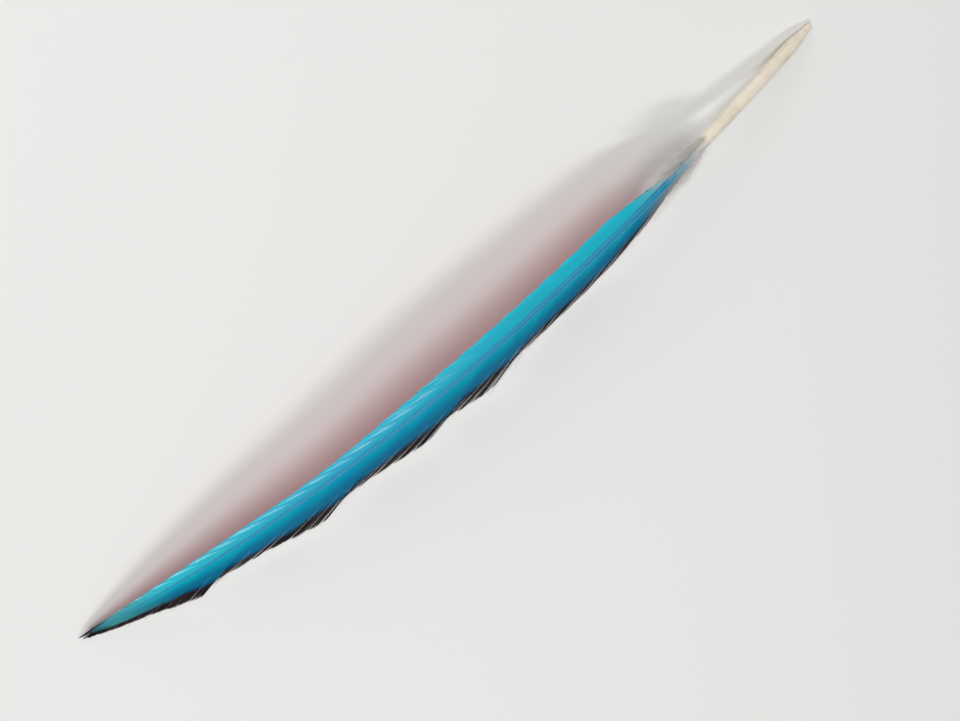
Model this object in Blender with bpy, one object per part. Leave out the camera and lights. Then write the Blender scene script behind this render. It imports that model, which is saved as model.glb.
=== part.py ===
"""One macaw flight feather, a primary from a left wing, lying as it was shed with its upper side up.

A feather grows as one piece, so it is one closed solid: a quill that runs on as the shaft, and on
each side of it a vane of barbs zipped into locks, with a slit between each lock and the next.
The feather is worked out along its own shaft, where a point has a distance along the shaft, a
distance across (minus is the narrow outer vane, plus the wide inner vane) and a height. It is then
bent to the shaft's arch and laid on the surface. Metres, +Z up, +X from quill to tip, the outer
vane on the -Y side, and the origin on the surface under the middle of the feather.
"""

import math

import bmesh
import bpy
import numpy as np
from mathutils import Euler, Matrix, Vector

# Driving dimensions
FEATHER_LENGTH = 0.330  # along the shaft, quill's end to the tip
VANE_START = 0.058  # where the first barbs leave the quill
INNER_WIDTH = 0.0285
OUTER_WIDTH = 0.0085
OUTER_NARROWED = 0.0062  # the outer vane past its step, towards the tip
QUILL_RADIUS = 0.0024
QUILL_END_RADIUS = 0.0010
SHAFT_RADIUS = 0.0021  # where the vanes start
SHAFT_TIP_RADIUS = 0.00028
VANE_THICKNESS_ROOT = 0.0008
VANE_THICKNESS_EDGE = 0.00045

# The shaft's arch, sideways sweep and twist, each from the quill's end to the tip
ARCH = math.radians(24.0)
SWEEP = math.radians(4.0)
TWIST = math.radians(6.0)
ARCH_POWER = 1.5  # above 1, the bend gathers towards the tip
SWEEP_POWER = 1.3

# How the vanes slope away from the shaft
OUTER_SLOPE = math.tan(math.radians(10.0))
OUTER_DROOP = 16.0  # height lost is this times the distance across, squared
INNER_SLOPE = math.tan(math.radians(4.0))
INNER_DROOP = 9.6
VANE_HEIGHT_SHARE = 0.28  # the vanes join the shaft this far above its middle, in shaft radii

# How the barbs leave the shaft
INNER_ANGLE, INNER_ANGLE_DROP = math.radians(44.0), math.radians(22.0)
OUTER_ANGLE, OUTER_ANGLE_DROP = math.radians(27.0), math.radians(11.0)
ROOT_FLARE = math.radians(9.0)  # a barb leaves the shaft this much steeper than its chord
BARB_BEND = 0.45  # where along its chord a barb does its bending

# Locks of barbs, and the slits between them
LOCKS_PER_VANE = 29
FIRST_ROOT = 0.0585
LAST_ROOT = 0.3225
LOCK_UNEVENNESS = 0.16  # of a lock's width
SLIT_FROM = 0.34  # a slit reaches in to this share of the barb, counted from the shaft
INNER_SLIT = 0.00045  # between the barbs at the margin, most slits
OUTER_SLIT = 0.0003
SLIT_SPREAD = 0.0065  # how far along the shaft the barbs lean to open a slit
# The inner vane's torn slits: by number, the gap, how far the margin ahead of it curls up, then
# the share of a barb's length that is left just behind the tear, where it is worn, and just ahead
TORN_SLITS = {
    0: (0.0, 0.0, 1.0, 1.0),
    8: (0.0036, 0.0030, 0.90, 1.06),
    11: (0.0016, 0.0026, 0.90, 1.03),
    16: (0.0018, 0.0030, 0.88, 1.04),
    22: (0.0014, 0.0026, 0.90, 1.04),
    29: (0.0, 0.0, 1.0, 1.0),
}
CURL_REACH = 0.024  # how far ahead of a tear the margin still curls up
LOCK_LIFT = 0.0005  # each lock's forward edge rides this much above the next one's
LOCK_PILLOW = 0.00025
LOCK_SCALLOP = 0.02  # of a barb's length, lost towards the edges of its lock
DOWNY_LOCKS = 2
DOWNY_SLIT_WIDTH = 0.0022

# Mesh steps
INNER_COLUMNS = 7
OUTER_COLUMNS = 4
QUILL_RINGS = 14
TIP_REACH = 0.0022  # the shaft ends this far short of the feather's tip

# How the feather lies: turned about X, then about Y, then moved
LAY_ROLL = math.radians(-27.95)
LAY_PITCH = math.radians(0.18)
LAY_OFFSET = Vector((-0.16254, -0.01392, 0.00092))
REST_FLAT = 0.00015  # what comes this close to the surface lies flat on it

ALONG = np.linspace(0.0, FEATHER_LENGTH, 1321)
OUTER, INNER = -1, 1
TOP, BOTTOM = 1, -1


def smooth_step(share):
    """0 to 1 with no kink at either end."""
    share = np.clip(share, 0.0, 1.0)
    return share * share * (3.0 - 2.0 * share)


def shaft_frames():
    """The shaft's points, and its side and upward directions, at each distance in ALONG."""
    share = ALONG / FEATHER_LENGTH
    arch = ARCH * (1.0 / (ARCH_POWER + 1.0) - share**ARCH_POWER)
    sweep = SWEEP * (share**SWEEP_POWER - 1.0 / (SWEEP_POWER + 1.0))
    twist = TWIST * share**ARCH_POWER
    forward = np.stack(
        [np.cos(arch) * np.cos(sweep), np.cos(arch) * np.sin(sweep), np.sin(arch)], 1
    )
    step = np.diff(ALONG)[:, None] * (forward[1:] + forward[:-1]) / 2.0
    points = np.vstack([np.zeros(3), np.cumsum(step, 0)])
    level = np.stack([-np.sin(sweep), np.cos(sweep), np.zeros_like(sweep)], 1)
    up = np.cross(forward, level)
    turn_cos, turn_sin = np.cos(twist)[:, None], np.sin(twist)[:, None]
    return points, turn_cos * level + turn_sin * up, turn_cos * up - turn_sin * level


SHAFT_POINTS, SHAFT_SIDES, SHAFT_UPS = shaft_frames()


def bent(along, across, height):
    """A point of the straight feather, carried to its place on the arched shaft."""
    past = max(0.0, along - FEATHER_LENGTH)
    place, side, up = (
        np.array([np.interp(along, ALONG, rows[:, axis]) for axis in range(3)])
        for rows in (SHAFT_POINTS, SHAFT_SIDES, SHAFT_UPS)
    )
    return place + across * side + height * up + past * np.cross(side, up)


def shaft_radius(along):
    """The quill swells from its end, then the shaft tapers steadily to the tip."""
    quill = QUILL_END_RADIUS + (QUILL_RADIUS - QUILL_END_RADIUS) * smooth_step(along / 0.012) ** 0.7
    slim = (along - VANE_START) / (FEATHER_LENGTH - VANE_START)
    shaft = SHAFT_RADIUS + (SHAFT_TIP_RADIUS - SHAFT_RADIUS) * np.clip(slim, 0.0, 1.0)
    blend = smooth_step((along - 0.040) / (VANE_START - 0.040))
    return quill + (shaft - quill) * blend


def inner_width(along):
    """The inner vane's width: it fills out over a third of the vane, then runs to a long tip."""
    rise = smooth_step((along - VANE_START) / 0.075) ** 0.62
    fall = np.clip((along - 0.185) / (FEATHER_LENGTH - 0.185), 0.0, 1.0)
    return INNER_WIDTH * rise * (1.0 - fall**1.9) ** 0.82


def outer_width(along):
    """The outer vane's width, with the step where it narrows past its middle."""
    rise = smooth_step((along - VANE_START) / 0.045) ** 0.7
    narrowed = smooth_step((along - 0.175) / 0.060)
    fall = np.clip((along - 0.245) / (FEATHER_LENGTH - 0.245), 0.0, 1.0)
    width = OUTER_WIDTH + (OUTER_NARROWED - OUTER_WIDTH) * narrowed
    return width * rise * (1.0 - fall**2.0) ** 0.8


def barb_chord(side, margin_along):
    """Width there, and the angle that a barb ending there makes with the shaft."""
    share = margin_along / FEATHER_LENGTH
    if side == INNER:
        return inner_width(margin_along), INNER_ANGLE - INNER_ANGLE_DROP * share**4
    return outer_width(margin_along), OUTER_ANGLE - OUTER_ANGLE_DROP * share**3


def margin_of_root(side, root_along):
    """Where along the shaft the barb rooted here ends, from the table of roots for every end."""
    width, angle = barb_chord(side, ALONG)
    roots = np.maximum.accumulate(ALONG - width / np.tan(angle))
    return float(np.interp(root_along, roots, ALONG))


def lock_edges():
    """Roots of the inner vane's slits, unevenly spaced, and of the outer's, halfway between."""
    count = np.arange(LOCKS_PER_VANE + 1)
    uneven = LOCK_UNEVENNESS * np.sin(2.4 * count + 0.7 * np.sin(1.3 * count))
    uneven[0] = uneven[-1] = 0.0
    inner = FIRST_ROOT + (LAST_ROOT - FIRST_ROOT) * (count + uneven) / LOCKS_PER_VANE
    middles = (inner[1:] + inner[:-1]) / 2.0
    outer = np.concatenate([[FIRST_ROOT], middles[:-1], [LAST_ROOT]])
    return {INNER: inner, OUTER: outer}


LOCK_EDGES = lock_edges()


def slit_width(side, edge):
    """How far apart the barbs stand at the margin on the two sides of a slit."""
    if edge in (0, len(LOCK_EDGES[side]) - 1):
        return 0.0
    if edge <= DOWNY_LOCKS:
        return DOWNY_SLIT_WIDTH
    if side == INNER and edge in TORN_SLITS:
        return TORN_SLITS[edge][0]
    return (INNER_SLIT if side == INNER else OUTER_SLIT) * (1.0 + 0.5 * math.sin(5.1 * edge))


def slit_lean(side, root_along, lock):
    """How far the barb's end leans along the shaft because of the slits behind and ahead."""
    lean = 0.0
    for edge, edge_along in enumerate(LOCK_EDGES[side]):
        push = 0.5 * slit_width(side, edge) * math.exp(-abs(root_along - edge_along) / SLIT_SPREAD)
        lean += push if edge <= lock else -push
    return lean


def share_left(side, root_along, lock):
    """How much of a barb's length wear has left: the margin stands out just ahead of each tear
    and draws back towards the next one."""
    if side == OUTER:
        return 1.0
    behind = max(edge for edge in TORN_SLITS if edge <= lock)
    ahead = min(edge for edge in TORN_SLITS if edge > lock)
    start, end = LOCK_EDGES[side][behind], LOCK_EDGES[side][ahead]
    way = (root_along - start) / (end - start)
    full, worn_back = TORN_SLITS[behind][3], TORN_SLITS[ahead][2]
    return full + (worn_back - full) * way**2


def curl_up(side, root_along, lock):
    """How far the barb's end curls up out of the vane because of the tears behind it."""
    rise = 0.0
    if side == INNER:
        for edge, (_, curl, _, _) in TORN_SLITS.items():
            past_tear = (root_along - LOCK_EDGES[side][edge]) / CURL_REACH
            if edge <= lock and past_tear < 1.0:
                rise += curl * (1.0 - past_tear)
    return rise


def barb_point(side, root_along, lock, share):
    """The vane's mid-surface at this share of a barb's length: along, across and height."""
    edges = LOCK_EDGES[side]
    within = (root_along - edges[lock]) / (edges[lock + 1] - edges[lock])
    from_middle = abs(2.0 * within - 1.0)
    reach = share * (1.0 - LOCK_SCALLOP * from_middle**2) * share_left(side, root_along, lock)

    end = margin_of_root(side, root_along)
    width, _ = barb_chord(side, end)
    root_across = 0.9 * shaft_radius(root_along)
    chord = np.array([end - root_along, max(width - root_across, 0.0002)])
    length = np.hypot(*chord)
    root_angle = math.atan2(chord[1], chord[0]) + ROOT_FLARE
    elbow = BARB_BEND * length * np.array([math.cos(root_angle), math.sin(root_angle)])
    along, across = 2.0 * reach * (1.0 - reach) * elbow + reach**2 * chord
    along += root_along
    across += root_across

    open_share = max(0.0, (share - SLIT_FROM) / (1.0 - SLIT_FROM))
    along += slit_lean(side, root_along, lock) * open_share**1.4
    slope, droop = (INNER_SLOPE, INNER_DROOP) if side == INNER else (-OUTER_SLOPE, OUTER_DROOP)
    out = across - root_across
    height = VANE_HEIGHT_SHARE * shaft_radius(root_along) + slope * out - droop * out**2
    size = width / (INNER_WIDTH if side == INNER else OUTER_WIDTH)
    height += LOCK_LIFT * (within - 0.5) * open_share * size
    height += LOCK_PILLOW * (1.0 - from_middle) * open_share * size
    height += curl_up(side, root_along, lock) * open_share**2
    return along, side * across, height


def shaft_ring(along):
    """Twelve points round the shaft: round on the quill, flat-sided with a grooved underside
    where it carries the vanes. The first two, and the sixth and seventh, are the vanes' roots."""
    radius = shaft_radius(along)
    squareness = smooth_step((along - 0.044) / 0.022)
    root = VANE_HEIGHT_SHARE * radius
    half = vane_thickness(0.0, along) / 2.0
    round_angles = np.radians([188, 172, 130, 90, 50, 8, -8, -38, -64, -90, -116, -142])
    ring_round = radius * np.stack([np.cos(round_angles), np.sin(round_angles)], 1)
    square = np.array(
        [
            [-0.9 * radius, root - half],
            [-0.9 * radius, root + half],
            [-0.62 * radius, 0.86 * radius],
            [0.0, 1.0 * radius],
            [0.62 * radius, 0.86 * radius],
            [0.9 * radius, root + half],
            [0.9 * radius, root - half],
            [0.84 * radius, -0.55 * radius],
            [0.5 * radius, -1.05 * radius],
            [0.0, -0.86 * radius],
            [-0.5 * radius, -1.05 * radius],
            [-0.84 * radius, -0.55 * radius],
        ]
    )
    ring = ring_round + (square - ring_round) * squareness
    return [bent(along, across, height) for across, height in ring]


def vane_thickness(share, root_along):
    """Thickest at the shaft, thinner to the margin and towards the feather's tip."""
    thick = VANE_THICKNESS_ROOT + (VANE_THICKNESS_EDGE - VANE_THICKNESS_ROOT) * share
    return thick * (0.45 + 0.55 * np.clip((FEATHER_LENGTH - root_along) / 0.12, 0.0, 1.0))


def stations():
    """Every root where the vanes are worked out: each slit of either vane, and two roots between."""
    slits = np.union1d(LOCK_EDGES[INNER], LOCK_EDGES[OUTER])
    middles = (slits[1:] + slits[:-1]) / 2.0
    return np.sort(np.concatenate([slits, middles]))


class FeatherMesh:
    """Builds the one closed surface, sharing every vertex that two faces have in common."""

    def __init__(self):
        self.mesh = bmesh.new()
        self.made = {}

    def vertex(self, key, place):
        """The vertex of this name, made on first use."""
        if key not in self.made:
            self.made[key] = self.mesh.verts.new(Vector(place))
        return self.made[key]

    def face(self, *corners):
        """A face through these vertices, given counter-clockwise as seen from outside."""
        self.mesh.faces.new(corners)

    def wall(self, low_here, low_there, high_there, high_here, flip):
        """A four-cornered face that turns over on the other side of the feather."""
        corners = [low_here, low_there, high_there, high_here]
        self.face(*(reversed(corners) if flip else corners))


def vane_vertex(feather, side, roots, station, column, level, lock):
    """A vertex of a vane. Past a slit's inner end, each lock has its own along that slit."""
    columns = INNER_COLUMNS if side == INNER else OUTER_COLUMNS
    share = column / columns
    root = roots[station]
    at_slit = np.abs(LOCK_EDGES[side] - root).min() < 1e-9
    own = lock if at_slit and share > SLIT_FROM else None
    key = (side, station, column, level, own)
    if key in feather.made:
        return feather.made[key]
    along, across, height = barb_point(side, root, lock, share)
    height += level * vane_thickness(share, root) / 2.0
    return feather.vertex(key, bent(along, across, height))


def lock_of(side, roots, station):
    """The lock that holds the strip from this station to the next."""
    middle = (roots[station] + roots[station + 1]) / 2.0
    return int(np.searchsorted(LOCK_EDGES[side], middle)) - 1


def add_vane(feather, side, roots):
    """Both faces of a vane, its margin, its two ends and the walls of its slits."""
    columns = INNER_COLUMNS if side == INNER else OUTER_COLUMNS
    last = len(roots) - 1
    flip = side == OUTER

    def at(station, column, level, lock):
        return vane_vertex(feather, side, roots, station, column, level, lock)

    for station in range(last):
        lock = lock_of(side, roots, station)
        there = station + 1
        for column in range(columns):
            for level in (TOP, BOTTOM):
                feather.wall(
                    at(station, column, level, lock),
                    at(there, column, level, lock),
                    at(there, column + 1, level, lock),
                    at(station, column + 1, level, lock),
                    flip != (level == BOTTOM),
                )
        feather.wall(
            at(station, columns, TOP, lock),
            at(there, columns, TOP, lock),
            at(there, columns, BOTTOM, lock),
            at(station, columns, BOTTOM, lock),
            flip,
        )
        for here, ahead in ((station, False), (there, True)):
            end_of_vane = here in (0, last)
            behind = lock_of(side, roots, here - 1) if here > 0 else lock
            beyond = lock_of(side, roots, here) if here < last else lock
            if not end_of_vane and behind == beyond:
                continue
            for column in range(columns):
                inside_slit = column >= math.floor(SLIT_FROM * columns)
                if end_of_vane or inside_slit:
                    feather.wall(
                        at(here, column, BOTTOM, lock),
                        at(here, column, TOP, lock),
                        at(here, column + 1, TOP, lock),
                        at(here, column + 1, BOTTOM, lock),
                        flip != ahead,
                    )


def add_ring_strip(feather, here, there, open_sides):
    """The shaft's skin between two rings. A side that carries a vane is left open for it."""
    count = len(here)
    vane_roots = (0, 5)
    for k in range(count):
        if open_sides and k in vane_roots:
            continue
        after = (k + 1) % count
        feather.face(here[k], here[after], there[after], there[k])


def shaft_ring_vertices(feather, roots, station):
    """The ring at a station, whose vane roots are the vanes' own first vertices."""
    places = shaft_ring(roots[station])
    shared = {
        0: (OUTER, BOTTOM),
        1: (OUTER, TOP),
        5: (INNER, TOP),
        6: (INNER, BOTTOM),
    }
    ring = []
    for k, place in enumerate(places):
        if k in shared:
            side, level = shared[k]
            lock = lock_of(side, roots, min(station, len(roots) - 2))
            ring.append(vane_vertex(feather, side, roots, station, 0, level, lock))
        else:
            ring.append(feather.vertex(("ring", station, k), place))
    return ring


def add_quill(feather, first_ring):
    """The bare quill, from the vanes back to its rounded end with the small hole that fed it."""
    previous = first_ring
    stops = FIRST_ROOT * (1.0 - np.linspace(0.0, 1.0, QUILL_RINGS + 1)[1:] ** 0.8)
    stops = [stop for stop in stops if stop > 0.004] + [0.0025, 0.0010]
    for n, along in enumerate(stops):
        ring = [feather.vertex(("quill", n, k), p) for k, p in enumerate(shaft_ring(along))]
        add_ring_strip(feather, ring, previous, open_sides=False)
        previous = ring
    angles = np.radians([188, 172, 130, 90, 50, 8, -8, -38, -64, -90, -116, -142])
    hole_rings = [(0.0, 0.00075), (0.0, 0.00045), (0.0022, 0.00035)]
    for n, (along, radius) in enumerate(hole_rings):
        ring = [
            feather.vertex(("hole", n, k), bent(along, radius * math.cos(a), radius * math.sin(a)))
            for k, a in enumerate(angles)
        ]
        add_ring_strip(feather, ring, previous, open_sides=False)
        previous = ring
    feather.face(*previous)


def add_tip(feather, last_ring):
    """The shaft's thin end, running out past the last barbs."""
    end = bent(FEATHER_LENGTH - TIP_REACH, 0.0, 0.0)
    point = feather.vertex(("tip",), end)
    for k in range(len(last_ring)):
        feather.face(last_ring[k], last_ring[(k + 1) % len(last_ring)], point)


def lay_down(mesh):
    """Turns the feather to how it lies, moves it over the origin and beds what touches."""
    turn = Euler((LAY_ROLL, LAY_PITCH, 0.0)).to_matrix().to_4x4()
    mesh.transform(Matrix.Translation(LAY_OFFSET) @ turn)
    for vertex in mesh.verts:
        if vertex.co.z < REST_FLAT:
            vertex.co.z = 0.0


def feather_material():
    """Blue upper side, satin rather than glossy."""
    material = bpy.data.materials.new("blue vane")
    material.use_nodes = True
    shader = material.node_tree.nodes["Principled BSDF"]
    shader.inputs["Base Color"].default_value = (0.01, 0.34, 0.55, 1.0)
    shader.inputs["Roughness"].default_value = 0.42
    shader.inputs["Metallic"].default_value = 0.0
    return material


def make_feather():
    """The feather as one named object."""
    feather = FeatherMesh()
    roots = stations()
    for side in (OUTER, INNER):
        add_vane(feather, side, roots)
    rings = [shaft_ring_vertices(feather, roots, station) for station in range(len(roots))]
    for here, there in zip(rings, rings[1:]):
        add_ring_strip(feather, here, there, open_sides=True)
    add_quill(feather, rings[0])
    add_tip(feather, rings[-1])
    lay_down(feather.mesh)
    bmesh.ops.triangulate(feather.mesh, faces=feather.mesh.faces)
    bmesh.ops.recalc_face_normals(feather.mesh, faces=feather.mesh.faces)
    mesh = bpy.data.meshes.new("feather")
    feather.mesh.to_mesh(mesh)
    feather.mesh.free()
    mesh.materials.append(feather_material())
    mesh.shade_smooth()
    mesh.set_sharp_from_angle(angle=math.radians(50.0))
    feather_object = bpy.data.objects.new("feather", mesh)
    bpy.context.scene.collection.objects.link(feather_object)
    return feather_object


def main():
    for old in list(bpy.data.objects):
        bpy.data.objects.remove(old)
    make_feather()


main()
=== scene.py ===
import math

import bpy
import numpy as np
from mathutils import Matrix, Vector


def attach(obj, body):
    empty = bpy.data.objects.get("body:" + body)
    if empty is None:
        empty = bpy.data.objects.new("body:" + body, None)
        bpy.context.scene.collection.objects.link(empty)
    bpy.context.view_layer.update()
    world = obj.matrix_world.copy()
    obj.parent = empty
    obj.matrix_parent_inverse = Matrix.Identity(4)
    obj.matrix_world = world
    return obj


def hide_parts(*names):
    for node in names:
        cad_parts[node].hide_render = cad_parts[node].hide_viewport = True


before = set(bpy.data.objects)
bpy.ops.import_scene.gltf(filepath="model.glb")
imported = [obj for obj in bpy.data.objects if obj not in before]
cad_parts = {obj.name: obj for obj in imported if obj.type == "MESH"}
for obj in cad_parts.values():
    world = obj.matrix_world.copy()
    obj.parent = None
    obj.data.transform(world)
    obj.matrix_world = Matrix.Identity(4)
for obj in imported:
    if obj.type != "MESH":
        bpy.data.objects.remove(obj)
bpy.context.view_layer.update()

# A point of the feather has a distance along the shaft, a distance across (minus is the narrow
# outer vane, plus the wide inner vane) and a height. It is bent to the shaft's arch, then laid down.
growth = {
    "length": 0.330,
    "vaneStart": 0.058,  # first barbs
    "arch": 24.0,  # degrees that the shaft turns down from quill to tip
    "archPower": 1.5,
    "sweep": 4.0,  # degrees towards the inner vane
    "sweepPower": 1.3,
    "twist": 6.0,
    "quillRadius": 0.0024,
    "quillEndRadius": 0.0010,
    "shaftRadius": 0.0021,
    "shaftTipRadius": 0.00028,
    "vaneHeight": 0.28,  # where the vanes leave the shaft, in shaft radii above its middle
    "layRoll": -27.95,
    "layPitch": 0.18,
    "layOffset": (-0.16254, -0.01392, 0.00092),
}
alongRow = np.linspace(0.0, growth["length"], 1321)


def smoothStep(value, low=0.0, high=1.0):  # 0 to 1 between low and high, level at both ends
    share = np.clip((value - low) / (high - low), 0.0, 1.0)
    return share * share * (3.0 - 2.0 * share)


def unit(vectors):  # each vector divided by its own length
    return vectors / np.linalg.norm(vectors, axis=-1, keepdims=True)


def shaftFrames():
    # The shaft's heading turns down as a power of the share of its length and sideways as another,
    # its points are the running sum of its headings, and its side and up axes turn by the twist.
    share = alongRow / growth["length"]
    arch = math.radians(growth["arch"]) * (
        1.0 / (growth["archPower"] + 1.0) - share ** growth["archPower"])
    sweep = math.radians(growth["sweep"]) * (
        share ** growth["sweepPower"] - 1.0 / (growth["sweepPower"] + 1.0))
    twist = math.radians(growth["twist"]) * share ** growth["archPower"]
    heading = np.stack(
        [np.cos(arch) * np.cos(sweep), np.cos(arch) * np.sin(sweep), np.sin(arch)], 1)
    steps = np.diff(alongRow)[:, None] * (heading[1:] + heading[:-1]) / 2.0
    points = np.vstack([np.zeros(3), np.cumsum(steps, 0)])
    level = np.stack([-np.sin(sweep), np.cos(sweep), np.zeros_like(sweep)], 1)
    upright = np.cross(heading, level)
    turnCos, turnSin = np.cos(twist)[:, None], np.sin(twist)[:, None]
    return points, turnCos * level + turnSin * upright, turnCos * upright - turnSin * level


shaftPoints, shaftSides, shaftUps = shaftFrames()


def sampleRows(rows, along):  # a row of vectors, read at these distances along the shaft
    return np.stack([np.interp(along, alongRow, rows[:, axis]) for axis in range(3)], -1)


def bend(along, across, height):
    # Shaft point, plus across times its side axis, plus height times its up axis, and past the
    # shaft's end straight on.
    side, up = sampleRows(shaftSides, along), sampleRows(shaftUps, along)
    past = np.maximum(0.0, along - growth["length"])[..., None]
    return (sampleRows(shaftPoints, along) + across[..., None] * side + height[..., None] * up
            + past * np.cross(side, up))


def layDown(points):
    # Turned about X, then about Y, then moved; nothing goes under the surface it lies on.
    roll, pitch = math.radians(growth["layRoll"]), math.radians(growth["layPitch"])
    turn = np.array(Matrix.Rotation(pitch, 3, "Y") @ Matrix.Rotation(roll, 3, "X"))
    laid = points @ turn.T + np.array(growth["layOffset"])
    laid[..., 2] = np.maximum(laid[..., 2], 0.00004)
    return laid


def shaftRadius(along):  # swells from the quill's end, then tapers in a straight line to the tip
    g = growth
    rise = smoothStep(along, 0.0, 0.012) ** 0.7
    quill = g["quillEndRadius"] + (g["quillRadius"] - g["quillEndRadius"]) * rise
    slim = np.clip((along - g["vaneStart"]) / (g["length"] - g["vaneStart"]), 0.0, 1.0)
    shaft = g["shaftRadius"] + (g["shaftTipRadius"] - g["shaftRadius"]) * slim
    return quill + (shaft - quill) * smoothStep(along, 0.040, g["vaneStart"])


def tubeFaces(count, rings, around, flip=False, shift=0):
    # Quads between each ring and the next, round the ring, for many tubes, with both ends capped.
    first = np.arange(count)[:, None, None] * rings * around
    ring = np.arange(rings - 1)[None, :, None] * around
    here = np.arange(around)[None, None, :]
    after = (here + 1) % around
    quads = np.stack([first + ring + here, first + ring + after,
                      first + ring + around + after, first + ring + around + here], -1)
    ends = (np.arange(count) * rings * around)[:, None]
    nearCap = ends + np.arange(around)[::-1]
    farCap = ends + (rings - 1) * around + np.arange(around)
    parts = [quads.reshape(-1, 4), nearCap, farCap]
    return [(part[:, ::-1] if flip else part) + shift for part in parts]


def makePiece(name, points, faces, values, material, sharp=50.0):
    # One mesh from whole arrays: its points, rows of corners, and a float attribute for each value.
    mesh = bpy.data.meshes.new(name)
    corners = np.concatenate([part.ravel() for part in faces]).astype(np.int32)
    sizes = np.concatenate([np.full(len(part), part.shape[1]) for part in faces])
    starts = np.concatenate([[0], np.cumsum(sizes)[:-1]]).astype(np.int32)
    mesh.vertices.add(len(points))
    mesh.vertices.foreach_set("co", points.astype(np.float32).ravel())
    mesh.loops.add(len(corners))
    mesh.loops.foreach_set("vertex_index", corners)
    mesh.polygons.add(len(starts))
    mesh.polygons.foreach_set("loop_start", starts)
    mesh.update(calc_edges=True)
    mesh.validate()
    for key, numbers in values.items():
        mesh.attributes.new(key, "FLOAT", "POINT").data.foreach_set(
            "value", np.ascontiguousarray(numbers, np.float32).ravel())
    mesh.shade_smooth()
    mesh.set_sharp_from_angle(angle=math.radians(sharp))
    mesh.materials.append(material)
    piece = bpy.data.objects.new(name, mesh)
    bpy.context.scene.collection.objects.link(piece)
    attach(piece, "root")
    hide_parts("feather")
    print(name, len(points), "points,", int((sizes - 2).sum()), "triangles")


class Wire:
    # One shader value. Arithmetic on it adds Math nodes to its material.
    def __init__(self, tree, socket=None):
        self.tree = tree
        self.socket = socket

    def node(self, kind, settings, inputs, output=0):  # any node: settings first, then its sockets
        made = self.tree.nodes.new(kind)
        for key, value in settings.items():
            if key == "stops":
                while len(made.color_ramp.elements) < len(value):
                    made.color_ramp.elements.new(0.5)
                for stop, (place, shade) in zip(made.color_ramp.elements, value):
                    stop.position = place
                    stop.color = shade
            else:
                setattr(made, key, value)
        for key, value in inputs.items():
            if isinstance(value, Wire):
                self.tree.links.new(value.socket, made.inputs[key])
            else:
                made.inputs[key].default_value = value
        return Wire(self.tree, made.outputs[output])

    def calc(self, operation, *values):  # one Math node
        return self.node("ShaderNodeMath", {"operation": operation}, dict(enumerate(values)))

    def __add__(self, other):
        return self.calc("ADD", self, other)

    def __sub__(self, other):
        return self.calc("SUBTRACT", self, other)

    def __rsub__(self, other):
        return self.calc("SUBTRACT", other, self)

    def __mul__(self, other):
        return self.calc("MULTIPLY", self, other)

    __radd__ = __add__
    __rmul__ = __mul__

    def ramp(self, low, high):  # 0 below low, 1 above high, smooth between; either may be a wire
        return self.node("ShaderNodeMapRange", {"interpolation_type": "SMOOTHSTEP"},
                         {"Value": self, "From Min": low, "From Max": high})

    def table(self, stops):  # a number read from a few (place, number) pairs
        return self.node("ShaderNodeValToRGB",
                         {"stops": [(place, (n, n, n, 1.0)) for place, n in stops]}, {0: self})

    def mix(self, first, second):  # this value mixes two colours
        return self.node("ShaderNodeMix", {"data_type": "RGBA"}, {0: self, 6: first, 7: second}, 2)

    def read(self, name):  # a number that the mesh carries
        return self.node("ShaderNodeAttribute", {"attribute_name": name}, {}, "Fac")

    def noise(self, scale, detail=2.0, stretch=(1.0, 1.0, 1.0)):  # soft noise in the object's space
        place = self.node("ShaderNodeTexCoord", {}, {}, "Object")
        drawn = self.node("ShaderNodeMapping", {"vector_type": "POINT"},
                          {"Vector": place, "Scale": stretch})
        return self.node("ShaderNodeTexNoise", {"noise_dimensions": "3D"},
                         {"Vector": drawn, "Scale": scale, "Detail": detail, "Roughness": 0.6})

    def bump(self, strength, distance):  # a normal from this value as a height
        return self.node("ShaderNodeBump", {}, {
            "Strength": strength, "Distance": distance, "Height": self})


def startMaterial(name, constants):
    # A material, its first wire, and its Principled shader with the unvarying values set.
    material = bpy.data.materials.new(name)
    material.use_nodes = True
    shader = material.node_tree.nodes["Principled BSDF"]
    for key, value in constants.items():
        shader.inputs[key].default_value = value
    return material, Wire(material.node_tree), shader


def feed(shader, wires):  # varying values into the shader's sockets
    for socket, wire in wires.items():
        wire.tree.links.new(wire.socket, shader.inputs[socket])


def colour(red, green, blue):  # a colour as a screen shows it, 0 to 255, made linear
    screen = np.array([red, green, blue]) / 255.0
    linear = np.where(screen <= 0.04045, screen / 12.92, ((screen + 0.055) / 1.055) ** 2.4)
    return (*linear.tolist(), 1.0)


locks = {
    "count": 29,
    "firstRoot": 0.0585,
    "lastRoot": 0.3225,
    "unevenness": 0.16,
    "slitFrom": 0.34,  # share of the barb where a slit begins
    "spread": 0.0065,
    # inner slits torn wide: the gap, how far the margin ahead curls up, then what is left of a
    # barb just behind and just ahead
    "torn": {8: (0.0036, 0.0030, 0.90, 1.06), 11: (0.0016, 0.0026, 0.90, 1.03),
             16: (0.0018, 0.0030, 0.88, 1.04), 22: (0.0014, 0.0026, 0.90, 1.04)},
    "curlReach": 0.024,
    "downyEdges": 2,
    "downySlit": 0.0022,
    "lift": 0.0002,
    "pillow": 0.00025,
    "scallop": 0.02,
}
innerVane = {
    "side": 1, "width": 0.0285, "slope": math.tan(math.radians(4.0)), "droop": 9.6,
    "fillsOut": 0.075, "fillPower": 0.62, "narrowWidth": 0.0285, "narrows": (0.175, 0.235),
    "fallFrom": 0.185, "fallPower": 1.9, "fallEase": 0.82,
    "angle": 44.0, "angleDrop": 22.0, "anglePower": 4, "slit": 0.00016,
    "barbs": 640, "steps": 25, "seed": 11, "worn": 1.0, "ridge": 0.000025,
}
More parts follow.
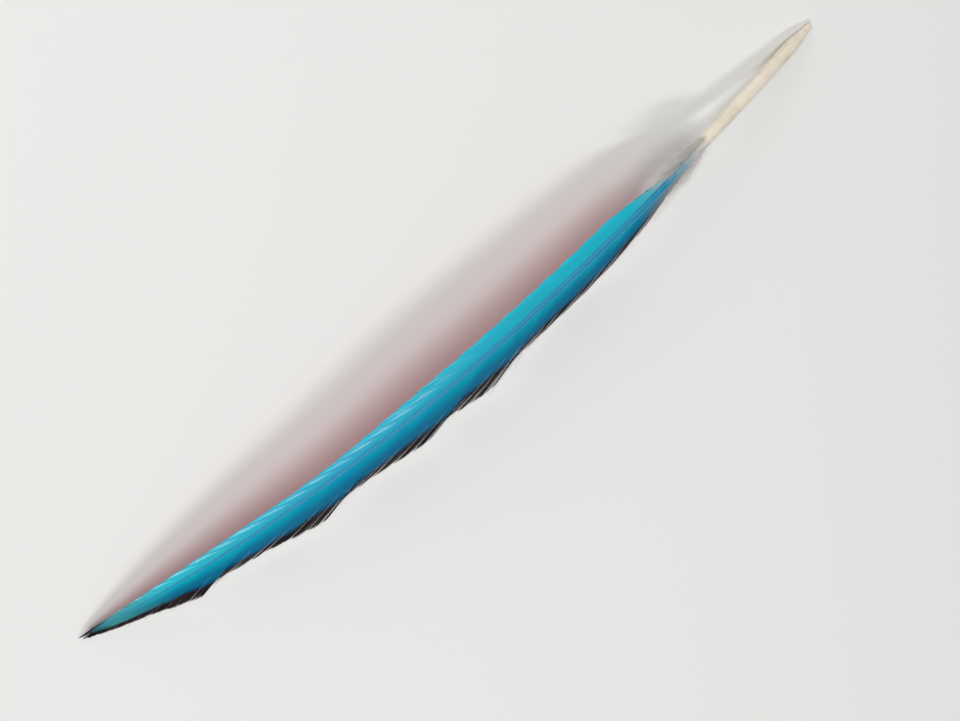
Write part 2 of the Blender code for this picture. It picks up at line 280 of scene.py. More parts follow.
outerVane = {
    "side": -1, "width": 0.0085, "slope": -math.tan(math.radians(10.0)), "droop": 16.0,
    "fillsOut": 0.045, "fillPower": 0.7, "narrowWidth": 0.0062, "narrows": (0.175, 0.235),
    "fallFrom": 0.245, "fallPower": 2.0, "fallEase": 0.8,
    "angle": 27.0, "angleDrop": 11.0, "anglePower": 3, "slit": 0.00012,
    "barbs": 640, "steps": 14, "seed": 23, "worn": 0.0, "ridge": 0.000008,
}
barbs = {
    "rootFlare": 9.0,  # degrees steeper at the shaft than the chord
    "elbow": 0.45,
    "overlap": (1.26, 1.65),  # width of a barb against the gap to the next, at root and margin
    "keel": 0.000012,
    "tilt": 0.000010,  # each barb's forward edge rides over the next one's
    "tipFrom": 0.955,  # where a barb begins to thin to its point
    "besideShift": 0.0002,
    "clump": (5, 13),  # how many barbs' ends draw together
    "clumpPull": 0.45,
    "rootOut": 0.9,  # where a barb leaves the shaft, in shaft radii
    "rootIn": 0.25,  # how far it is sunk into it
    "sunkShare": 0.05,
    "leastAcross": 0.0002,
    "gapLimits": (0.00012, 0.00046),
    "pointed": 0.80,
    "frayedThin": 0.35,
    "lastShares": [0.965, 0.985, 1.0],  # closer steps where a barb comes to its point
}
wear = {
    "everywhere": 0.10,
    "most": 1.2,
    "fullGap": 0.004,  # a torn slit this wide frays the barbs beside it fully
    "tearReach": 0.0026,
    "foot": 0.9,
    "footReach": 0.009,
    "tip": 0.15,
    "tipFrom": 0.300,
    "partings": 90,  # small ones, anywhere
    "partingWidth": 0.00050,
    "partingReach": 0.0016,
    "lean": 0.00030,
    "rise": 0.00010,
    "uneven": 0.010,  # shares of length by which barbs differ, clumps round off, frayed ends break
    "clumpRound": 0.030,
    "broken": 0.07,
}


def vaneWidth(vane, along):
    # The vane's width, which steps in past the middle on the outer one, times a smooth rise from its
    # first barbs to a power, times one minus a power of the way to the tip, also to a power.
    rise = smoothStep(along, growth["vaneStart"], growth["vaneStart"] + vane["fillsOut"])
    fall = np.clip((along - vane["fallFrom"]) / (growth["length"] - vane["fallFrom"]), 0.0, 1.0)
    narrowing = (vane["narrowWidth"] - vane["width"]) * smoothStep(along, *vane["narrows"])
    width = (vane["width"] + narrowing) * rise ** vane["fillPower"]
    return width * (1.0 - fall ** vane["fallPower"]) ** vane["fallEase"]


def marginAlong(vane, roots):  # where along the shaft a barb with this root ends
    share = alongRow / growth["length"]
    angle = np.radians(vane["angle"] - vane["angleDrop"] * share ** vane["anglePower"])
    starts = np.maximum.accumulate(alongRow - vaneWidth(vane, alongRow) / np.tan(angle))
    return np.interp(roots, starts, alongRow)


def lockEdges(vane):
    # Inner slits are unevenly spaced; the outer ones fall halfway between them.
    count = np.arange(locks["count"] + 1)
    uneven = locks["unevenness"] * np.sin(2.4 * count + 0.7 * np.sin(1.3 * count))
    uneven[[0, -1]] = 0.0
    reach = locks["lastRoot"] - locks["firstRoot"]
    inner = locks["firstRoot"] + reach * (count + uneven) / locks["count"]
    if vane["side"] > 0:
        return inner
    return np.concatenate([inner[:1], ((inner[1:] + inner[:-1]) / 2.0)[:-1], inner[-1:]])


def slitWidths(vane, edges):
    # How far apart the barbs stand at the margin, slit by slit, with the first few loose and downy.
    widths = vane["slit"] * (1.0 + 0.5 * np.sin(5.1 * np.arange(len(edges))))
    if vane["worn"]:
        widths[list(locks["torn"])] = [worn[0] for worn in locks["torn"].values()]
    widths[: locks["downyEdges"] + 1] = locks["downySlit"]
    widths[[0, -1]] = 0.0
    return widths


def slitLean(roots, edges, widths, spread):
    # Barbs ahead of a slit lean forward and those behind it lean back, less the further away.
    away = roots[:, None] - edges[None, :]
    push = 0.5 * widths * np.exp(-np.abs(away) / spread)
    return np.where(away >= 0.0, push, -push).sum(1)


def marginLeft(vane, roots, edges):
    # What wear has left of each barb: most just ahead of a torn slit, and less towards the next
    # one by the square of the way there.
    if not vane["worn"]:
        return np.ones_like(roots)
    left = np.array([(1.0, 1.0), *[worn[2:] for worn in locks["torn"].values()], (1.0, 1.0)])
    places = edges[[0, *locks["torn"], locks["count"]]]
    span = np.clip(np.searchsorted(places, roots, side="right") - 1, 0, len(places) - 2)
    way = (roots - places[span]) / (places[span + 1] - places[span])
    return left[span, 1] + (left[span + 1, 0] - left[span, 1]) * way**2


def curlUp(vane, roots, edges, lock):
    # Ahead of a torn slit the margin curls up, most at the tear and evenly less towards the tip.
    torn = np.array(list(locks["torn"]))
    curl = vane["worn"] * np.array([worn[1] for worn in locks["torn"].values()])
    ahead = np.clip((roots[:, None] - edges[torn][None, :]) / locks["curlReach"], 0.0, 1.0)
    return np.where(torn[None, :] <= lock[:, None], curl * (1.0 - ahead), 0.0).sum(1)


def barbCurves(vane, roots, shares, loose, shift=0.0):
    # A barb is a quadratic curve from the shaft to the margin, steeper at the root. Its end leans
    # away from slits. Its height is a slope and a droop with distance out, plus the lock's lift,
    # pillow and curl. loose holds each barb's own extra lean, lift and length. With a shift, the
    # same barbs are moved that far along the shaft, each as part of its own lock.
    edges = lockEdges(vane)
    widths = slitWidths(vane, edges)
    lock = np.clip(np.searchsorted(edges, roots, side="right") - 1, 0, locks["count"] - 1)
    roots = roots + shift
    within = (roots - edges[lock]) / (edges[lock + 1] - edges[lock])
    fromMiddle = np.abs(2.0 * within - 1.0)[:, None]
    left = (marginLeft(vane, roots, edges) * loose["reach"])[:, None]
    reach = shares[None, :] * (1.0 - locks["scallop"] * fromMiddle**2) * left

    ends = marginAlong(vane, roots)
    radius = shaftRadius(roots)[:, None]
    width = vaneWidth(vane, ends)[:, None]
    rootAcross = barbs["rootOut"] * radius
    chordAlong = (ends - roots)[:, None]
    chordAcross = np.maximum(width - rootAcross, barbs["leastAcross"])
    length = np.hypot(chordAlong, chordAcross)
    rootAngle = np.arctan2(chordAcross, chordAlong) + math.radians(barbs["rootFlare"])
    along = 2.0 * reach * (1.0 - reach) * barbs["elbow"] * length * np.cos(rootAngle)
    along = along + reach**2 * chordAlong + roots[:, None]
    across = 2.0 * reach * (1.0 - reach) * barbs["elbow"] * length * np.sin(rootAngle)
    across = across + reach**2 * chordAcross + rootAcross

    opened = np.clip((shares - locks["slitFrom"]) / (1.0 - locks["slitFrom"]), 0.0, 1.0)[None, :]
    along = along + slitLean(roots, edges, widths, locks["spread"])[:, None] * opened**1.4
    along = along + loose["lean"][:, None] * opened**3.0
    out = across - rootAcross
    size = width / vane["width"]
    height = growth["vaneHeight"] * radius + vane["slope"] * out - vane["droop"] * out**2
    height = height + locks["lift"] * (within[:, None] - 0.5) * opened * size
    height = height + locks["pillow"] * (1.0 - fromMiddle) * opened * size
    height = height + curlUp(vane, roots, edges, lock)[:, None] * opened**2
    height = height + loose["rise"][:, None] * opened**1.5
    sunk = np.clip(1.0 - shares[None, :] / barbs["sunkShare"], 0.0, 1.0)
    across = across - barbs["rootIn"] * radius * sunk
    return along, across, height, length


def frayOf(vane, roots):
    # How frayed each barb is: it fades with distance from the torn slits and from the vane's foot,
    # rises smoothly near the tip, and a little of it is everywhere.
    torn = lockEdges(vane)[list(locks["torn"])]
    gaps = np.array([worn[0] / wear["fullGap"] for worn in locks["torn"].values()])
    away = np.abs(roots[:, None] - torn[None, :])
    fray = (vane["worn"] * gaps * np.exp(-away / wear["tearReach"])).sum(1)
    fray = fray + wear["foot"] * np.exp(-(roots - locks["firstRoot"]) / wear["footReach"])
    fray = fray + wear["tip"] * smoothStep(roots, wear["tipFrom"], locks["lastRoot"])
    return np.clip(fray + wear["everywhere"], 0.0, wear["most"])


def barbLooseness(vane, roots, random):
    # Ends lean towards the middle of their clump, away from small partings, and by chance where
    # frayed; frayed ends also rise or hang, and are shorter.
    count = len(roots)
    fray = frayOf(vane, roots)
    partings = np.sort(random.uniform(roots[0], roots[-1], wear["partings"]))
    partingWidths = random.uniform(0.0, wear["partingWidth"], wear["partings"])
    partingWidths = partingWidths * (0.5 + 0.5 * vane["worn"])
    lean = slitLean(roots, partings, partingWidths, wear["partingReach"])
    clumpEnds = np.cumsum(random.integers(*barbs["clump"], count))
    clumpEnds = np.concatenate([[0], clumpEnds[clumpEnds < count], [count]])
    number = np.arange(count)
    clump = np.searchsorted(clumpEnds, number, side="right") - 1
    half = (clumpEnds[clump + 1] - clumpEnds[clump]) / 2.0
    fromMiddle = (number + 0.5 - clumpEnds[clump]) / half - 1.0
    pull = barbs["clumpPull"] * (0.35 + fray) * (0.3 + 0.7 * vane["worn"])
    lean = lean - pull * fromMiddle * half * (roots[1] - roots[0])
    shorter = wear["clumpRound"] * vane["worn"] * np.abs(fromMiddle) ** 1.5 * (0.5 + fray)
    return {
        "fray": fray,
        "lean": lean + fray * random.normal(0.0, wear["lean"], count),
        "rise": (wear["everywhere"] + fray) * random.normal(0.0, wear["rise"], count),
        "reach": 1.0 - random.uniform(0.0, wear["uneven"], count) - shorter
                 - fray * wear["broken"] * random.uniform(0.0, 1.0, count) ** 2.5,
    }


def ribbonPoints(vane, curves, beside, halfWidth, thin):
    # Four corners round each barb: forward edge, ridge on top, rear edge, keel below. The ribbon
    # lies in the vane: its normal is square to the barb and to the way to the barb beside it.
    side = vane["side"]
    centre = bend(curves[0], side * curves[1], curves[2])
    forward = unit(np.gradient(centre, axis=1))
    across = bend(beside[0], side * beside[1], beside[2]) - centre
    normal = side * unit(np.cross(across, forward))
    tipward = side * np.cross(forward, normal)
    half, slim = halfWidth[..., None], thin[..., None]
    return layDown(np.stack([
        centre + half * tipward + slim * barbs["tilt"] * normal,
        centre + slim * vane["ridge"] * normal,
        centre - half * tipward - slim * barbs["tilt"] * normal,
        centre - slim * barbs["keel"] * normal,
    ], 2))


def barbValues(along, shares, tone, length):
    # What the vane material reads: place along the feather, share of the barb, the barb's own
    # tone, millimetres from the shaft, upper or under side, and forward or rear edge.
    grid = along.shape
    spread = {
        "along": along / growth["length"],
        "across": np.broadcast_to(shares[None, :], grid),
        "tone": np.broadcast_to(np.clip(tone, 0.0, 1.0)[:, None], grid),
        "reach": np.broadcast_to(shares[None, :] * length * 1000.0, grid),
    }
    values = {key: np.repeat(numbers[..., None], 4, -1) for key, numbers in spread.items()}
    values["upper"] = np.broadcast_to(np.array([0.5, 1.0, 0.5, 0.0]), grid + (4,))
    values["wide"] = np.broadcast_to(np.array([1.0, 0.5, 0.0, 0.5]), grid + (4,))
    return values


def makeVane(name, vane, material):
    # Barbs side by side, each a ribbon as wide as the gap to the next and a little over, thinned
    # to a point at its end and drawn narrower where it is frayed. A barb's tone is two slow waves
    # over its number and chance.
    random = np.random.default_rng(vane["seed"])
    roots = np.linspace(locks["firstRoot"], locks["lastRoot"], vane["barbs"])
    shares = np.concatenate([np.linspace(0.0, 0.93, vane["steps"] - 3), barbs["lastShares"]])
    loose = barbLooseness(vane, roots, random)
    curves = barbCurves(vane, roots, shares, loose)
    beside = barbCurves(vane, roots, shares, loose, barbs["besideShift"])
    along, across, height, length = curves

    gapAlong, gapAcross = np.gradient(along, axis=0), np.gradient(across, axis=0)
    goAlong, goAcross = np.gradient(along, axis=1), np.gradient(across, axis=1)
    gap = np.abs(gapAlong * goAcross - gapAcross * goAlong) / np.hypot(goAlong, goAcross)
    gap = np.clip(gap, *barbs["gapLimits"])
    point = 1.0 - barbs["pointed"] * smoothStep(shares, barbs["tipFrom"], 1.0)[None, :]
    opened = np.clip((shares - 0.4) / 0.6, 0.0, 1.0)[None, :]
    overlap = barbs["overlap"][0] + (barbs["overlap"][1] - barbs["overlap"][0]) * opened
    drawn = 1.0 - barbs["frayedThin"] * loose["fray"][:, None] * opened
    halfWidth = 0.5 * overlap * gap * point * drawn
    points = ribbonPoints(vane, curves, beside, halfWidth, point + 0.0 * halfWidth)

    number = np.arange(len(roots))
    tone = 0.5 + 0.22 * np.sin(number / 7.3 + 1.3 * np.sin(number / 17.0))
    tone = tone + random.normal(0.0, 0.13, len(roots))
    makePiece(name, points.reshape(-1, 3), tubeFaces(len(roots), len(shares), 4, vane["side"] > 0),
              barbValues(along, shares, tone, length), material)


def threadPoints(centre, radius):
    # Thin threads: a ring of three points square to each step of the path.
    forward = unit(np.gradient(centre, axis=1))
    first = unit(np.cross(forward, np.array([0.31, 0.52, 0.80])))
    second = np.cross(forward, first)
    angle = np.arange(3) * 2.0 * math.pi / 3.0
    ring = np.cos(angle)[:, None] * first[..., None, :] + np.sin(angle)[:, None] * second[..., None, :]
    return centre[..., None, :] + radius[..., None, None] * ring


def fibrePaths(centre, count, length, random):
    # Short fibres along each path, standing off it by chance, leaning forward and curling back.
    paths, steps = centre.shape[:2]
    index = np.linspace(0.08, 1.0, count) * (steps - 1)
    low = np.minimum(index.astype(int), steps - 2)
    part = (index - low)[None, :, None]
    foot = centre[:, low] * (1.0 - part) + centre[:, low + 1] * part
    go = unit(centre[:, low + 1] - centre[:, low])
    off = unit(np.cross(go, random.normal(0.0, 1.0, (paths, count, 3))))
    reach = length * random.uniform(0.55, 1.2, (paths, count, 1))
    step = np.linspace(0.0, 1.0, 5)[None, None, :, None]
    curl = 0.35 * np.cross(off, go)[:, :, None, :] * step**2
    path = foot[:, :, None, :] + reach[:, :, None, :] * (
        step * (0.75 * off[:, :, None, :] + 0.5 * go[:, :, None, :]) + curl)
    return path.reshape(paths * count, 5, 3)


strays = {
    "perTear": 15,
    "tearPlace": (-0.0016, 0.0016),  # mean and spread of their distance from the tear
    "elsewhere": 34,
    "footGap": 0.004,  # none nearer to the vane's foot
    "lastRoot": 0.312,
    "steps": 16,
    "from": 0.52,  # share of a barb's length where a stray one parts from the vane
    "halfWidth": 0.00008,
    "barbules": 26,  # fine fibres on each
    "barbuleLength": 0.0009,
    "barbuleRadius": 0.000014,
    "seed": 31,
}


def makeStrays(material):
    # Single barbs that stray from the inner margin, most of them at the torn slits: the vane's own
    # curves, run on past the margin, leaning either way and standing off, with bare barbules.
    s = strays
    random = np.random.default_rng(s["seed"])
    torn = lockEdges(innerVane)[list(locks["torn"])]
    near = torn[:, None] + random.normal(*s["tearPlace"], (len(torn), s["perTear"]))
    far = random.uniform(locks["firstRoot"] + s["footGap"], s["lastRoot"], s["elsewhere"])
    roots = np.sort(np.concatenate([near.ravel(), far]))
    fray = frayOf(innerVane, roots)
    shares = np.linspace(s["from"], 1.0, s["steps"])
    count = len(roots)
    loose = {
        "lean": random.normal(0.0, 0.0005, count) + random.normal(-0.0006, 0.0016, count) * fray,
        "rise": random.normal(0.0, 0.0004, count) + random.uniform(-0.0006, 0.0030, count) * fray,
        "reach": 1.0 + random.uniform(-0.03, 0.02, count) + random.uniform(0.0, 0.08, count) * fray,
    }
    curves = barbCurves(innerVane, roots, shares, loose)
    beside = barbCurves(innerVane, roots, shares, loose, barbs["besideShift"])
    along, length = curves[0], curves[3]
    point = 1.0 - 0.85 * smoothStep(shares, 0.75, 1.0)[None, :] + 0.0 * along
    points = ribbonPoints(innerVane, curves, beside, s["halfWidth"] * point, point)
    points[..., 2] -= 0.0001 * np.clip(1.0 - (shares - s["from"]) / 0.1, 0.0, 1.0)[:, None]
    tone = random.uniform(0.2, 0.9, count)

    centre = points.mean(2)[:, s["steps"] // 3:]
    path = fibrePaths(centre, s["barbules"], s["barbuleLength"], random)
    path[..., 2] = np.maximum(path[..., 2], 0.00006)
    fibres = threadPoints(path, s["barbuleRadius"] * np.linspace(1.0, 0.4, 5) + 0.0 * path[..., 0])
    fibreTone = np.repeat(tone, s["barbules"] * 15)
    fibreAlong = np.repeat(roots / growth["length"], s["barbules"] * 15)
    fills = {"along": fibreAlong, "across": 0.95, "tone": fibreTone,
             "reach": 9.0, "upper": 0.9, "wide": 0.5}
    values = {key: np.concatenate([numbers.ravel(), fills[key] + 0.0 * fibreTone])
              for key, numbers in barbValues(along, shares, tone, length).items()}
    ribbons = count * len(shares) * 4
    faces = tubeFaces(count, len(shares), 4, True) + tubeFaces(len(path), 5, 3, False, ribbons)
    makePiece("strayBarbs", np.vstack([points.reshape(-1, 3), fibres.reshape(-1, 3)]),
              faces, values, material)


vanePaint = {
    "turquoise": colour(0, 190, 204),
    "blue": colour(0, 160, 198),
    # deepBlueAndPaintedShade: the inner vane's own deeper blue, darkened further as painted shade
    "deepBlueAndPaintedShade": colour(0, 104, 146),
    "inkBlue": colour(2, 64, 92),
    # paintedHighlight: a paler cyan painted towards the outer vane's leading edge as a highlight
    "paintedHighlight": colour(20, 194, 220),
    "teal": colour(62, 146, 150),
    "margin": colour(26, 22, 27),
    "marginWarm": colour(58, 47, 48),
    "tip": colour(17, 15, 19),
    "coral": colour(236, 100, 116),
    "coralLight": colour(252, 172, 180),
    "redOuter": colour(196, 58, 56),
    "dusky": colour(128, 92, 102),
    "duskyTip": colour(60, 52, 56),
    "baseGrey": colour(170, 170, 170),
}


def vaneMaterial(name, inner):
    # Upper side: turquoise and blue, with a painted highlight of paler cyan towards the outer vane's
    # leading edge, and on the inner vane deepening outwards, its own deeper blue plus painted shade,
    # to a dark margin, teal and then dark at the tip. Under side: pink to a dusky margin. Every edge
    # between colours shifts from barb to barb by its tone.
    matte = {"Specular IOR Level": 0.0, "Coat Roughness": 0.34}
    satin = {"Specular IOR Level": 0.10, "Coat Roughness": 0.20, "Coat Weight": 0.75}
    material, start, shader = startMaterial(name, {"IOR": 1.5, **(matte if inner else satin)})
    paint = vanePaint
    along, across, tone = start.read("along"), start.read("across"), start.read("tone")
    cloud, grain = start.noise(60.0, 3.0), start.noise(900.0)
    jitter = (tone - 0.5) * 0.13 + (cloud - 0.5) * 0.10
    place = across + jitter

    bluer = along.table([(0.20, 0.10), (0.42, 0.45), (0.68, 0.85), (0.88, 0.15)])
    bright = (bluer + (tone - 0.5) * 0.5).mix(paint["turquoise"], paint["blue"])
    if inner:
        edge = along.table([(0.18, 0.36), (0.32, 0.56), (0.60, 0.66), (0.84, 0.74), (0.97, 0.60)])
        # outwards from the shaft the inner vane's blue deepens: partly its own colour, partly painted
        # shade
        blue = (place.ramp(-0.10, edge - 0.20) * 0.95).mix(bright, paint["deepBlueAndPaintedShade"])
        blue = place.ramp(edge - 0.14, edge + 0.02).mix(blue, paint["inkBlue"])
        dark = place.ramp(edge - 0.01, edge + 0.05)
        brown = (tone * 0.6 + grain * 0.4).mix(paint["margin"], paint["marginWarm"])
        pinkEdge = place.ramp(0.50, 0.86)
        pink = (tone * 0.4 + cloud * 0.6).mix(paint["coral"], paint["coralLight"])
        below = pinkEdge.mix(pink, paint["dusky"])
    else:
        # painted highlight: paler cyan mixed in towards the outer vane's leading edge
        blue = (place.ramp(0.45, 1.0) * 0.7).mix(bright, paint["paintedHighlight"])
        dark = place * 0.0
        brown = paint["margin"]
        below = place.ramp(0.55, 0.90).mix(paint["redOuter"], paint["duskyTip"])

    blue = (along + jitter * 0.05).ramp(0.875, 0.965).mix(blue, paint["teal"])
    top = dark.mix(blue, brown)
    darkTip = (along + jitter * 0.08 + across * 0.012).ramp(0.958, 0.984)
    top = darkTip.mix(top, paint["tip"])
    below = darkTip.mix(below, paint["duskyTip"])
    foot = 1.0 - (along + jitter * 0.10).ramp(0.185, 0.275)
    top = (foot * 0.85).mix(top, paint["baseGrey"])
    below = (foot * 0.95).mix(below, paint["baseGrey"])
    shade = start.read("upper").calc("GREATER_THAN", start.read("upper"), 0.5).mix(below, top)

    # barbules: fine lines that slant forward on both halves of a barb
    fromRidge = start.read("wide") - 0.5
    slant = start.calc("ABSOLUTE", fromRidge)
    barbule = start.calc("SINE", (start.read("reach") + slant * 0.5) * 34.0) * 0.5 + 0.5
    value = barbule * 0.14 + 0.88 + (tone - 0.5) * 0.20
    feed(shader, {
        "Base Color": start.node("ShaderNodeHueSaturation", {}, {"Value": value, "Color": shade}),
        "Roughness": grain * 0.14 + tone * 0.10 + (0.44 if inner else 0.36),
        "Normal": (barbule * 0.5 + grain * 0.5).bump(0.25, 0.00003),
    })
    if inner:
        feed(shader, {"Coat Weight": (1.0 - dark) * 0.10})
    return material


shaftShape = {
    "around": 36,
    "rows": 420,
    "end": 0.3278,
    "holeDepth": 0.0042,
    "holeRadius": 0.00050,
    "rimRadius": 0.00066,
    "noseLength": 0.0010,
    "bodyFrom": 0.0013,  # first row past the nose
    "square": (0.044, 0.066),  # where the round quill turns flat-sided
    "squareness": 0.28,
    "tipTaper": 0.0025,
    "groove": 0.26,  # depth of the groove underneath, in shaft radii
    "grooveWidth": 0.26,
}
shaftPaint = {
    "horn": colour(226, 217, 200),
    "hornShade": colour(188, 170, 146),
    "ink": colour(0, 122, 160),
    "inkBlue": colour(0, 142, 180),
    "tip": colour(14, 14, 18),
    "beige": colour(196, 168, 140),
    "redBrown": colour(96, 44, 40),
}


def shaftSurface():
    # A round section on the quill turns into a flat-sided one with a groove underneath: a
    # superellipse whose power falls from 1 to 0.72. Rows start at the bottom of the hole in the
    # quill's end, come out over its rounded nose, a quarter circle, and run to the tip.
    s = shaftShape
    holeAlong = np.array([1.0, 1.0, 0.5, 0.12, 0.04]) * s["holeDepth"]
    holeRadius = np.array([0.05, 0.6, 0.85, 1.0, 1.06]) * s["holeRadius"]
    turn = np.linspace(0.0, math.pi / 2.0, 7)
    noseAlong = s["noseLength"] * (1.0 - np.cos(turn))
    noseRadius = s["rimRadius"] + (shaftRadius(s["noseLength"]) - s["rimRadius"]) * np.sin(turn)
    outShare = np.linspace(0.0, 1.0, s["rows"]) ** 1.15
    outAlong = s["bodyFrom"] + (s["end"] - s["bodyFrom"]) * outShare
    fade = np.clip((s["end"] - outAlong) / s["tipTaper"], 0.0, 1.0) ** 0.6
    along = np.concatenate([holeAlong, noseAlong, outAlong])
    radius = np.concatenate([holeRadius, noseRadius, shaftRadius(outAlong) * (0.12 + 0.88 * fade)])

    angle = np.linspace(0.0, 2.0 * math.pi, s["around"], endpoint=False)[None, :]
    square = smoothStep(along, *s["square"])[:, None]
    power = 1.0 - s["squareness"] * square
    cosine, sine = np.cos(angle), np.sin(angle)
    across = np.sign(cosine) * np.abs(cosine) ** power * (1.0 - 0.10 * square)
    height = np.sign(sine) * np.abs(sine) ** power
    below = np.where(sine < 0.0, 1.0, 0.0)
    height = height - 0.05 * below * square * np.abs(sine)
    height = height + s["groove"] * square * below * np.exp(-((across / s["grooveWidth"]) ** 2))
    # the dry quill is a little out of round, with faint lengthwise flutes
    quillShare = 1.0 - smoothStep(along, 0.050, 0.080)[:, None]
    outside = np.where(np.arange(len(along)) >= len(holeAlong) + len(noseAlong), 1.0, 0.0)[:, None]
    uneven = 0.012 * np.sin(along[:, None] * 260.0 + 2.0 * np.sin(angle + 1.0))
    uneven = uneven + 0.007 * np.sin(5.0 * angle + 20.0 * along[:, None])
    scale = radius[:, None] * (1.0 + uneven * quillShare * outside)
    alongGrid = along[:, None] + 0.0 * scale
    points = layDown(bend(alongGrid, across * scale, height * scale))
    return points, alongGrid / growth["length"], sine * 0.5 + 0.5 + 0.0 * scale


def shaftMaterial():
    # Pale horn on the quill, running into dark blue above and, further on, into red-brown below.
    material, start, shader = startMaterial("hornAndBlueShaft", {
        "IOR": 1.54, "Specular IOR Level": 0.30, "Subsurface Weight": 0.08,
        "Subsurface Radius": (0.003, 0.002, 0.0012), "Subsurface Scale": 0.5})
    paint = shaftPaint
    along, upper = start.read("along"), start.read("upper")
    cloud = start.noise(130.0, 3.0)
    flutes = start.noise(1.0, 2.0, (40.0, 1500.0, 1500.0))
    bands = start.noise(1.0, 1.0, (260.0, 30.0, 30.0))  # traces of the pith inside, across the quill
    horn = (bands * 0.30 + cloud * 0.35 + flutes * 0.35).ramp(0.30, 0.90).mix(
        paint["horn"], paint["hornShade"])
    ink = flutes.mix(paint["ink"], paint["inkBlue"])
    ink = along.ramp(0.955, 0.98).mix(ink, paint["tip"])
    under = (along + (cloud - 0.5) * 0.04).ramp(0.30, 0.62).mix(paint["beige"], paint["redBrown"])
    above = (along + (cloud - 0.5) * 0.03 + (flutes - 0.5) * 0.05).ramp(0.155, 0.225).mix(horn, ink)
    below = (along + (cloud - 0.5) * 0.03).ramp(0.17, 0.26).mix(horn, under)
    facing = (upper + (flutes - 0.5) * 0.08).ramp(0.30, 0.48)
    feed(shader, {
        "Base Color": facing.mix(below, above),
        "Coat Weight": 0.35 - along.ramp(0.14, 0.22) * 0.30,
        "Roughness": cloud * 0.14 + flutes * 0.10 + 0.26,
        "Normal": (flutes * 0.7 + cloud * 0.3).bump(0.22, 0.00005),
    })
    return material


def makeShaft():  # one tube from the hole in the quill's end to the tip
    points, along, upper = shaftSurface()
    rows, around = along.shape
    makePiece("shaft", points.reshape(-1, 3), tubeFaces(1, rows, around, True),
              {"along": along, "upper": upper}, shaftMaterial(), sharp=60.0)


down = {
    "stems": 116,
    "steps": 15,
    "start": (0.0525, 0.0720),
    "stemLength": (0.008, 0.019),
    "outerLength": 0.72,  # stems on the outer side, against the inner
    "stemRadius": 0.00005,
    "leaves": (42.0, 74.0),  # degrees from the shaft
    "straightens": 0.45,  # share of that angle lost on the way out
    "lift": (-0.16, 0.10),
    "wave": (0.0005, 0.0006),  # along and in height
    "fibres": 44,  # on each stem
    "fibreLength": 0.0030,
    "fibreRadius": 0.000020,
    "seed": 5,
}


def makeDown():
    # Stems leave both sides of the shaft at an angle that falls with distance out, in a straight
    # lift or droop plus a sine wave that grows with it; short fibres stand off each stem.
    d = down
    random = np.random.default_rng(d["seed"])
    stems, steps = d["stems"], d["steps"]
    root = np.sort(random.uniform(*d["start"], stems))
    side = np.where(np.arange(stems) % 2 == 0, 1.0, -1.0)
    length = random.uniform(*d["stemLength"], stems) * np.where(side > 0, 1.0, d["outerLength"])
    angle = np.radians(random.uniform(*d["leaves"], stems))
    share = np.linspace(0.0, 1.0, steps)[None, :]
    wave = random.uniform(0.0, 6.28, (stems, 1))
    bow = length[:, None] * share
    turned = angle[:, None] * (1.0 - d["straightens"] * share)
    along = root[:, None] + bow * np.cos(turned)
    along = along + d["wave"][0] * np.sin(7.0 * share + wave) * share
    radius = shaftRadius(root)[:, None]
    across = side[:, None] * (0.75 * radius + bow * np.sin(turned))
    lift = random.uniform(*d["lift"], (stems, 1))
    height = 0.1 * radius + bow * lift
    height = height + d["wave"][1] * np.sin(5.0 * share + 2.0 * wave) * share
    centre = bend(along, across, height)
    stemPoints = threadPoints(centre, d["stemRadius"] * (1.0 - 0.75 * share) + 0.0 * along)
    path = fibrePaths(centre, d["fibres"], d["fibreLength"], random)
    fibrePoints = threadPoints(path, d["fibreRadius"] * np.linspace(1.0, 0.4, 5) + 0.0 * path[..., 0])
    tone = np.concatenate([np.repeat(random.uniform(0.0, 1.0, stems), steps * 3),
                           np.repeat(random.uniform(0.0, 1.0, len(path)), 15)])
    faces = tubeFaces(stems, steps, 3) + tubeFaces(len(path), 5, 3, False, stems * steps * 3)
    points = np.vstack([stemPoints.reshape(-1, 3), fibrePoints.reshape(-1, 3)])
    makePiece("down", layDown(points), faces, {"tone": tone}, downMaterial())


def downMaterial():
    # Pale grey, each thread a little lighter or darker.
    material, start, shader = startMaterial("paleDown", {"Roughness": 0.75, "Sheen Weight": 0.3})
    mixed = start.read("tone") * 0.6 + start.noise(220.0) * 0.4
    feed(shader, {"Base Color": mixed.mix(colour(176, 173, 171), colour(228, 225, 220))})
    return material


makeShaft()
innerMaterial = vaneMaterial("blueInnerVane", True)
makeVane("innerVane", innerVane, innerMaterial)
makeVane("outerVane", outerVane, vaneMaterial("turquoiseOuterVane", False))
makeStrays(innerMaterial)
makeDown()

studio = {
    "floor": colour(228, 228, 226),
    "floorSize": 3.0,
    "key": {"place": (0.15, -0.60, 1.30), "size": (1.4, 1.4), "power": 12.5},
    "fill": {"place": (-0.10, -1.40, 0.42), "size": (1.4, 0.5), "power": 7.0},
    "strip": {"place": (0.48, 0.86, 1.14), "size": (1.2, 0.12), "power": 8.5},
    "sky": 0.27,
    "target": (-0.003, 0.0, 0.008),
    "elevation": 51.0,
    "roll": 140.0,
    "distance": 0.775,
    "lens": 85.0,
}


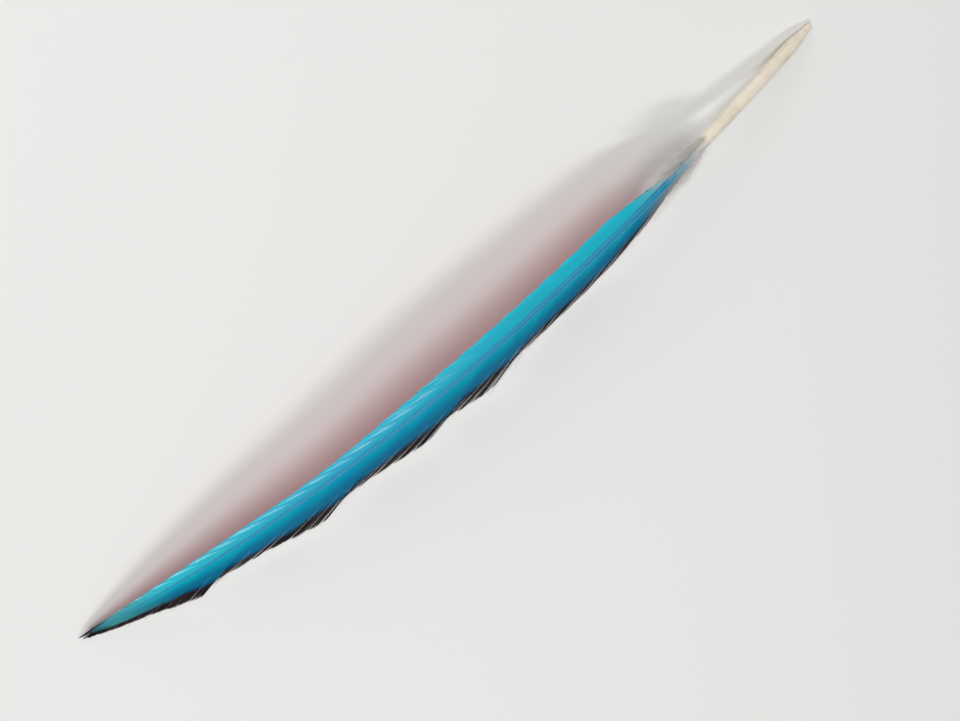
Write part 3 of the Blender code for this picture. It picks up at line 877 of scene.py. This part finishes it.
def makeFloor():  # one flat square that the feather lies on
    half = studio["floorSize"] / 2.0
    mesh = bpy.data.meshes.new("floor")
    mesh.from_pydata([(-half, -half, 0), (half, -half, 0), (half, half, 0), (-half, half, 0)], [],
                     [(0, 1, 2, 3)])
    material = startMaterial("paleFloor", {
        "Base Color": studio["floor"], "Roughness": 0.8, "Specular IOR Level": 0.2})[0]
    mesh.materials.append(material)
    floor = bpy.data.objects.new("floor", mesh)
    bpy.context.scene.collection.objects.link(floor)


def makeLight(name, place, size, power):  # a rectangle of light that faces the feather
    light = bpy.data.lights.new(name, "AREA")
    light.shape = "RECTANGLE"
    light.size, light.size_y = size
    light.energy = power
    lamp = bpy.data.objects.new(name, light)
    lamp.location = place
    lamp.rotation_euler = Vector(place).to_track_quat("Z", "Y").to_euler()
    bpy.context.scene.collection.objects.link(lamp)


def makeSky():  # an even white light from all round
    world = bpy.data.worlds.new("studioSky")
    world.use_nodes = True
    background = world.node_tree.nodes["Background"]
    background.inputs["Color"].default_value = (1.0, 1.0, 1.0, 1.0)
    background.inputs["Strength"].default_value = studio["sky"]
    bpy.context.scene.world = world


def makeCamera():
    # At a distance from the target, on a line at the elevation above the floor, facing the target
    # and rolled about its own axis.
    lens = bpy.data.cameras.new("camera")
    lens.lens = studio["lens"]
    lens.clip_start = 0.01
    camera = bpy.data.objects.new("camera", lens)
    height = math.radians(studio["elevation"])
    outward = Vector((0.0, -math.cos(height), math.sin(height)))
    camera.location = Vector(studio["target"]) + outward * studio["distance"]
    turn = outward.to_track_quat("Z", "Y").to_matrix() @ Matrix.Rotation(
        math.radians(studio["roll"]), 3, "Z")
    camera.rotation_euler = turn.to_euler()
    bpy.context.scene.collection.objects.link(camera)
    bpy.context.scene.camera = camera


makeFloor()
makeLight("keyLight", **studio["key"])
makeLight("fillLight", **studio["fill"])
makeLight("stripLight", **studio["strip"])
makeSky()
makeCamera()
bpy.context.scene.view_settings.view_transform = "Standard"  # keeps the blues as bright as they are
print("floor, lights and camera placed")
